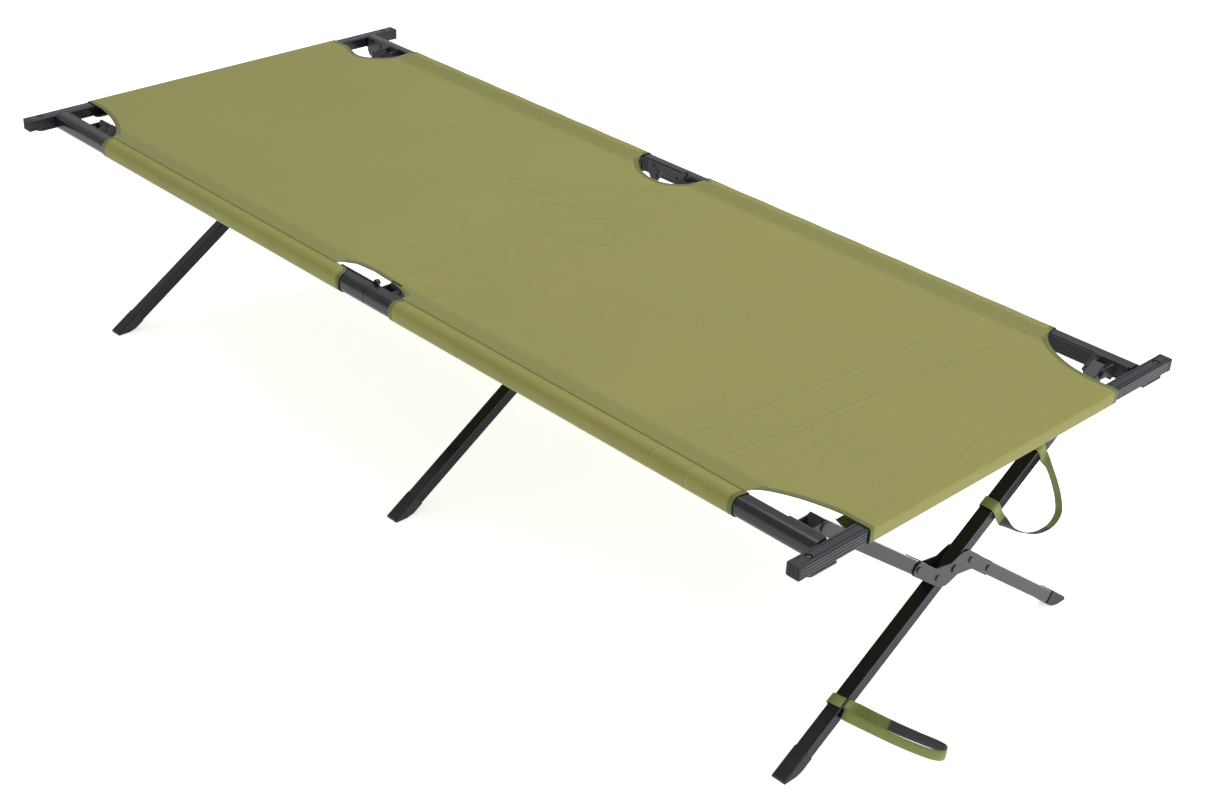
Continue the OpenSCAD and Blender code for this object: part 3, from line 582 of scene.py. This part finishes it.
def makeStrap(name, points, width, tilt, darkFrom, darkTo, count=150):
    line = smoothLoop(points, count)
    bm = bmesh.new()
    rows = 5
    bmesh.ops.create_grid(bm, x_segments=count, y_segments=rows - 1, size=0.5)
    alongLayer = bm.verts.layers.float.new("strapAlong")
    acrossLayer = bm.verts.layers.float.new("strapAcross")
    darkLayer = bm.verts.layers.float.new("strapDark")
    lengths = [0.0]
    for k in range(count):
        lengths.append(lengths[-1] + (line[(k + 1) % count] - line[k]).length)
    for v in bm.verts:
        i = round((v.co.x + 0.5) * count)
        w = v.co.y
        centre = line[i % count]
        share = (i % count) / count
        direction = Vector(tilt(share)).normalized()
        v[alongLayer] = lengths[i]
        v[acrossLayer] = w * width
        v[darkLayer] = 1.0 if darkFrom < share < darkTo else 0.0
        v.co = centre + direction * (w * width)
    bmesh.ops.remove_doubles(bm, verts=bm.verts, dist=0.00005)
    obj = link(name, bm, materials["strap"])
    return thicken(obj, 0.0014, 0.0)


setX = 0.886 + originShift
legAngle = math.radians(33.2)
legDir = Vector((0, math.cos(legAngle), math.sin(legAngle)))
legUp = Vector((0, -math.sin(legAngle), math.cos(legAngle)))
crossing = Vector((setX, 0, 0.2133))


def onLeg(s, across, out):
    # s up the leg from the crossing, across along the bed, out square to the leg
    return crossing + legDir * s + Vector((across, 0, 0)) + legUp * out


def fromLeg(x, y, z):
    return Vector((setX + x, y, z))


# where the low strap leaves the leg, in a level plane
def lowStrapPoints():
    s = -0.262
    half = 0.0122
    y0, z0 = -0.2192, 0.070
    turn = math.radians(13)
    loop = [(0.000, -0.0115), (0.035, -0.0120), (0.070, -0.0122), (0.105, -0.0122), (0.135, -0.0115),
            (0.1475, -0.0070), (0.1505, 0.0), (0.146, 0.0075), (0.132, 0.0112), (0.105, 0.0120),
            (0.070, 0.0116), (0.035, 0.0112), (0.005, 0.0112)]
    points = [onLeg(s, -0.0125, half), onLeg(s, -0.0145, 0.0), onLeg(s, -0.0125, -half),
              onLeg(s - 0.002, 0.004, -half - 0.0006)]
    for along, out in loop:
        lift = -0.004 * math.sin(math.pi * min(1.0, along / 0.15)) - 0.004 * smooth01(along / 0.15)
        points.append(fromLeg(0.0170 + along * math.cos(turn) - out * math.sin(turn),
                              y0 + along * math.sin(turn) + out * math.cos(turn), z0 + lift))
    points += [onLeg(s + 0.002, 0.006, half + 0.0006)]
    return points


def lowStrapTilt(share):
    lean = smooth01(abs(share - 0.5) / 0.5 * 1.6 - 0.5)
    return legDir * lean + Vector((0, 0, 1)) * (1 - lean) + Vector((0, 0.12, 0))


# the high strap hangs from the leg's lower corner between two places on it
def highStrapPoints():
    middle, half = 0.1655, 0.0122
    out = Vector((math.cos(math.radians(58)), 0, 0)) - legUp * math.sin(math.radians(58))
    corner = onLeg(0, 0.0114, -0.0107)
    loop = [(0.003, -0.0560), (0.018, -0.0578), (0.036, -0.0535), (0.055, -0.0440), (0.070, -0.0300),
            (0.0795, -0.0120), (0.0815, 0.004), (0.0770, 0.0190), (0.062, 0.0330), (0.042, 0.0450),
            (0.022, 0.0540), (0.004, 0.0590)]
    points = [corner + legDir * (middle + s) + out * w for w, s in loop]
    top, low = middle + 0.061, middle - 0.055
    over = half + 0.0004
    points += [onLeg(top, 0.0125, 0.0), onLeg(top, 0.010, over), onLeg(top, -0.010, over),
               onLeg(top - 0.004, -0.0128, 0.0), onLeg(middle, -0.0130, -0.0124),
               onLeg(low + 0.004, -0.0128, 0.0), onLeg(low, -0.010, over), onLeg(low, 0.010, over),
               onLeg(low, 0.0125, 0.0)]
    return points


def highStrapTilt(share):
    inLoop = smooth01((0.56 - abs(share - 0.28) * 2) / 0.2)
    normal = Vector((math.sin(math.radians(58)), 0, 0)) + legUp * math.cos(math.radians(58))
    return normal * inLoop + legDir * (1 - inLoop) * 0.6


lowStrap = makeStrap("strapLow", lowStrapPoints(), 0.0165, lowStrapTilt, 0.60, 0.80)
highStrap = makeStrap("strapHigh", highStrapPoints(), 0.016, highStrapTilt, 0.02, 0.24)
for strap, node in ((lowStrap, "strap_lower"), (highStrap, "strap_upper")):
    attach(strap, "right_straight_leg_body")
    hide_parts(node)
print("straps made")


def makeStage():
    bm = bmesh.new()
    bmesh.ops.create_grid(bm, x_segments=2, y_segments=2, size=12)
    mat, tree, bsdf = newMaterial("paleFloor")
    bsdf.inputs["Base Color"].default_value = (0.9, 0.9, 0.9, 1)
    bsdf.inputs["Roughness"].default_value = 0.9
    bsdf.inputs["Emission Color"].default_value = (1, 1, 1, 1)
    bsdf.inputs["Emission Strength"].default_value = 0.6
    floor = link("floor", bm, mat, smooth=False)
    floor.data.transform(Matrix.Translation((0, 0, -0.0005)))


def softLight(name, place, size, power, aim):
    data = bpy.data.lights.new(name, "AREA")
    data.size = size
    data.energy = power
    obj = bpy.data.objects.new(name, data)
    bpy.context.scene.collection.objects.link(obj)
    obj.location = place
    obj.rotation_mode = "QUATERNION"
    obj.rotation_quaternion = (Vector(aim) - Vector(place)).to_track_quat("-Z", "Y")


makeStage()
softLight("overhead", (0.2, 0.6, 3.0), 2.6, 60, (0, 0, 0.4))
softLight("footEnd", (3.6, 0.3, 1.1), 1.8, 42, (0.6, 0, 0.3))
world = bpy.data.worlds.new("studio")
bpy.context.scene.world = world
world.use_nodes = True
world.node_tree.nodes["Background"].inputs[0].default_value = (1, 1, 1, 1)
world.node_tree.nodes["Background"].inputs[1].default_value = 0.75
bpy.context.scene.view_settings.view_transform = "Standard"
print("stage made")
